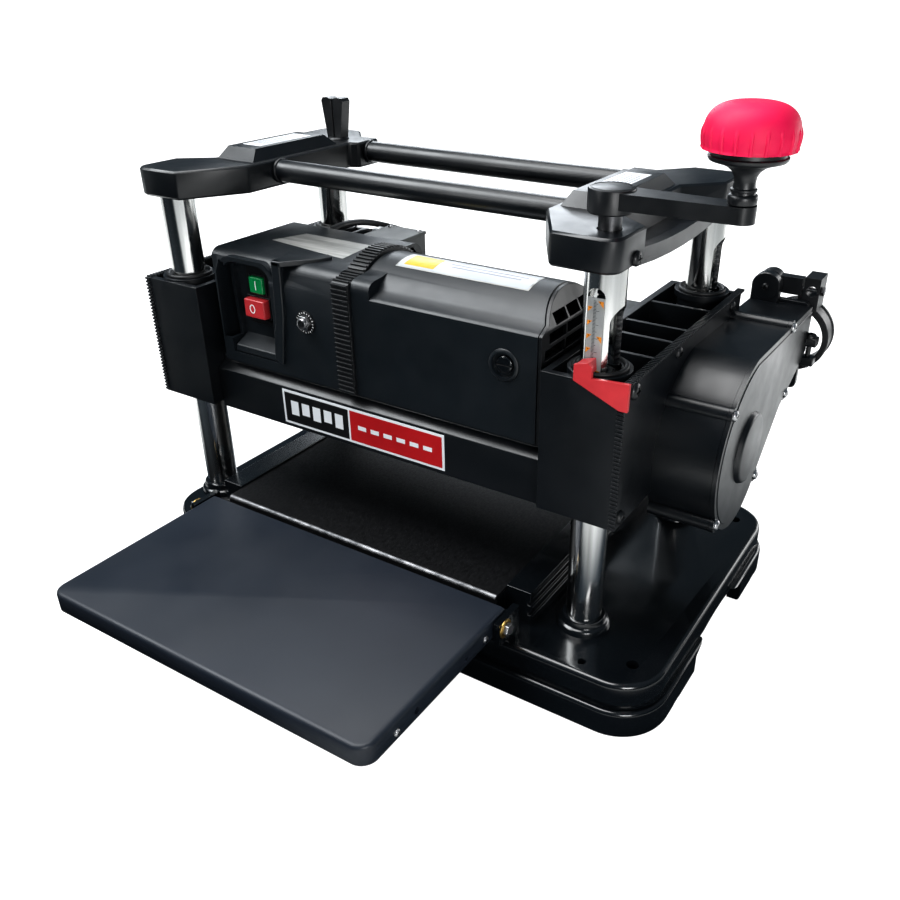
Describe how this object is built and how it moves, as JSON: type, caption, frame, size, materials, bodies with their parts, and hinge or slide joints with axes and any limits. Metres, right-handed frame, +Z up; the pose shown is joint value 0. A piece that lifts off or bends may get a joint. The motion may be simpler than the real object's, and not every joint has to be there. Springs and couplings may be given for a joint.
{
  "type": "bench thickness planer",
  "caption": "Four-column bench thickness planer: a motor carriage with cutterhead and feed rollers rises on lift screws over a bed with folding infeed and outfeed tables.",
  "frame": {"origin": "on the underside plane of the base, midway between the four columns", "axes": "+X to the operator's right seen from the infeed side, +Y the feed direction (infeed to outfeed), +Z up"},
  "size_m": [0.5702, 0.675, 0.4676],
  "materials": {
    "gloss_black": "gloss black stoved paint on cast iron and steel tube",
    "cast_black": "gloss black stoved paint on cast aluminium",
    "satin_black": "satin black moulded plastic",
    "chrome_steel": "hard chromed tube, bright, with faint vertical draw marks",
    "bright_steel": "turned steel",
    "bed_steel": "dark oiled steel sheet with a fine mottled grain",
    "table_paint": "dark blue-black satin paint on folded steel sheet",
    "red_knob": "crimson moulded plastic, fluted rim",
    "red_plastic": "red moulded plastic",
    "green_plastic": "green moulded plastic",
    "scale_silver": "matt silver strip with graduations",
    "black_rubber": "black rubber",
    "copper": "wound armature on a steel shaft",
    "motor_grey": "dark grey fine-textured moulded housing"
  },
  "bodies": {
    "frame": {"base_casting": "gloss_black", "base_cover": "satin_black", "lift_chain": "bright_steel", "bed_casting": "gloss_black", "bed_sheet": "bed_steel", "infeed_hinge_yoke": "gloss_black", "outfeed_hinge_yoke": "gloss_black", "infeed_hinge_rod": "bright_steel", "outfeed_hinge_rod": "bright_steel", "column_front_left": "chrome_steel", "column_front_right": "chrome_steel", "column_rear_left": "chrome_steel", "column_rear_right": "chrome_steel", "thickness_scale": "scale_silver", "bracket_left": "cast_black", "bracket_right": "cast_black", "top_bar_front": "gloss_black", "top_bar_rear": "gloss_black"},
    "crank": {"crank_arm": "satin_black", "lead_screw_front_right": "bright_steel"},
    "knob": {"crank_knob_stem": "satin_black", "crank_knob_cap": "red_knob"},
    "screw_front_left": {"lead_screw_front_left": "bright_steel"},
    "screw_rear_left": {"lead_screw_rear_left": "bright_steel"},
    "screw_rear_right": {"lead_screw_rear_right": "bright_steel"},
    "infeed_leaf": {"infeed_table": "table_paint"},
    "outfeed_leaf": {"outfeed_table": "table_paint"},
    "lock": {"lock_lever": "satin_black"},
    "carriage": {"left_end_box": "cast_black", "right_end_box": "cast_black", "lift_nut_front_left": "bright_steel", "lift_nut_front_right": "bright_steel", "lift_nut_rear_left": "bright_steel", "lift_nut_rear_right": "bright_steel", "front_beam": "cast_black", "dust_hood": "satin_black", "terminal_box": "motor_grey", "switch_housing": "motor_grey", "motor_band": "satin_black", "motor_cover": "motor_grey", "vent_grille": "satin_black", "motor_stator": "bright_steel", "drive_belt": "black_rubber", "feed_chain": "bright_steel", "fan_housing": "cast_black", "fan_cover": "cast_black", "height_pointer": "red_plastic", "cord_gland": "black_rubber", "cord_tube": "black_rubber", "cord_hank": "black_rubber", "cord_plug": "black_rubber"},
    "motor_shaft": {"motor_rotor": "copper"},
    "cutter": {"cutterhead": "bright_steel", "fan_impeller": "bright_steel"},
    "infeed_feed": {"infeed_roller": "black_rubber"},
    "outfeed_feed": {"outfeed_roller": "black_rubber"},
    "start": {"start_button": "green_plastic"},
    "stop": {"stop_button": "red_plastic"},
    "reset": {"reset_button": "satin_black"},
    "clamp": {"hose_clamp": "satin_black"}
  },
  "joints": [
    {"name": "crank_turn", "type": "hinge", "parent": "frame", "child": "crank", "pos_m": [0.2125, -0.1045, 0.393], "axis": [0, 0, 1], "range_deg": [-12610, 5410]},
    {"name": "knob_spin", "type": "hinge", "parent": "crank", "child": "knob", "pos_m": [0.2985, -0.1045, 0.4083], "axis": [0, 0, 1], "continuous": true},
    {"name": "screw_front_left_turn", "type": "hinge", "parent": "frame", "child": "screw_front_left", "pos_m": [-0.2125, -0.1045, 0.016], "axis": [0, 0, 1], "range_deg": [-12610, 5410]},
    {"name": "screw_rear_left_turn", "type": "hinge", "parent": "frame", "child": "screw_rear_left", "pos_m": [-0.2125, 0.1045, 0.016], "axis": [0, 0, 1], "range_deg": [-12610, 5410]},
    {"name": "screw_rear_right_turn", "type": "hinge", "parent": "frame", "child": "screw_rear_right", "pos_m": [0.2125, 0.1045, 0.016], "axis": [0, 0, 1], "range_deg": [-12610, 5410]},
    {"name": "carriage_lift", "type": "slide", "parent": "frame", "child": "carriage", "axis": [0, 0, 1], "range_m": [-0.07, 0.03]},
    {"name": "infeed_table_fold", "type": "hinge", "parent": "frame", "child": "infeed_leaf", "pos_m": [0, -0.171, 0.0725], "axis": [-1, 0, 0], "range_deg": [0, 90]},
    {"name": "outfeed_table_fold", "type": "hinge", "parent": "frame", "child": "outfeed_leaf", "pos_m": [0, 0.169, 0.0725], "axis": [1, 0, 0], "range_deg": [0, 90]},
    {"name": "lock_lever_turn", "type": "hinge", "parent": "frame", "child": "lock", "pos_m": [-0.172, 0.074, 0.3823], "axis": [0, 0, 1], "range_deg": [0, 90]},
    {"name": "start_button_press", "type": "slide", "parent": "carriage", "child": "start", "axis": [0, 1, 0], "range_m": [0, 0.003], "stiffness_N_per_m": 500},
    {"name": "stop_button_press", "type": "slide", "parent": "carriage", "child": "stop", "axis": [0, 1, 0], "range_m": [0, 0.003], "stiffness_N_per_m": 500},
    {"name": "reset_button_press", "type": "slide", "parent": "carriage", "child": "reset", "axis": [0, 1, 0], "range_m": [0, 0.002], "stiffness_N_per_m": 500},
    {"name": "motor_spin", "type": "hinge", "parent": "carriage", "child": "motor_shaft", "pos_m": [0, -0.064, 0.27], "axis": [1, 0, 0], "continuous": true},
    {"name": "cutter_spin", "type": "hinge", "parent": "carriage", "child": "cutter", "pos_m": [0, 0.008, 0.183], "axis": [1, 0, 0], "continuous": true},
    {"name": "infeed_roller_spin", "type": "hinge", "parent": "carriage", "child": "infeed_feed", "pos_m": [0, -0.058, 0.174], "axis": [1, 0, 0], "continuous": true},
    {"name": "outfeed_roller_spin", "type": "hinge", "parent": "carriage", "child": "outfeed_feed", "pos_m": [0, 0.07, 0.174], "axis": [1, 0, 0], "continuous": true},
    {"name": "hose_clamp_swing", "type": "hinge", "parent": "carriage", "child": "clamp", "pos_m": [0.253, 0.1773, 0.276], "axis": [0, 1, 0], "range_deg": [-90, 0]}
  ],
  "couplings": [
    {"joint": "crank_turn", "follows": "carriage_lift", "rad_per_m": 3141.6},
    {"joint": "screw_front_left_turn", "follows": "carriage_lift", "rad_per_m": 3141.6},
    {"joint": "screw_rear_left_turn", "follows": "carriage_lift", "rad_per_m": 3141.6},
    {"joint": "screw_rear_right_turn", "follows": "carriage_lift", "rad_per_m": 3141.6},
    {"joint": "cutter_spin", "follows": "motor_spin", "ratio": 0.78571},
    {"joint": "infeed_roller_spin", "follows": "motor_spin", "ratio": -0.0062},
    {"joint": "outfeed_roller_spin", "follows": "motor_spin", "ratio": -0.0062}
  ]
}
